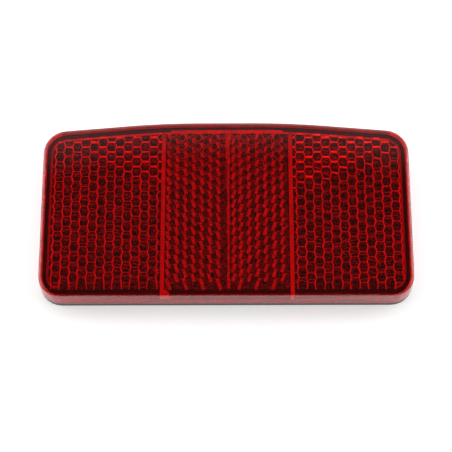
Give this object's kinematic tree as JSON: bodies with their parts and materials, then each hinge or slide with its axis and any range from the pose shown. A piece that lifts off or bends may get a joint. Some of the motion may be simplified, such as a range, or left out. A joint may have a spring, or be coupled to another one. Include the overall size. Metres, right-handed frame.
{
  "type": "bicycle rear reflector",
  "caption": "Rectangular red rear reflector with cube-corner prism fields, black back plate and bolt holes for a bicycle carrier.",
  "frame": {"origin": "middle of the back face, at the foot of the bounding box", "axes": "+Z out of the red face, +Y up when fitted, +X to the right of a person who looks at the face"},
  "size_m": [0.094, 0.0468, 0.008],
  "materials": {
    "lens_acrylic": "polished transparent red acrylic",
    "plate_plastic": "fine matt black",
    "nut_steel": "zinc plated"
  },
  "bodies": {
    "root": {"lens": "lens_acrylic", "back_plate": "plate_plastic", "nut_left": "nut_steel", "nut_right": "nut_steel"}
  },
  "joints": []
}
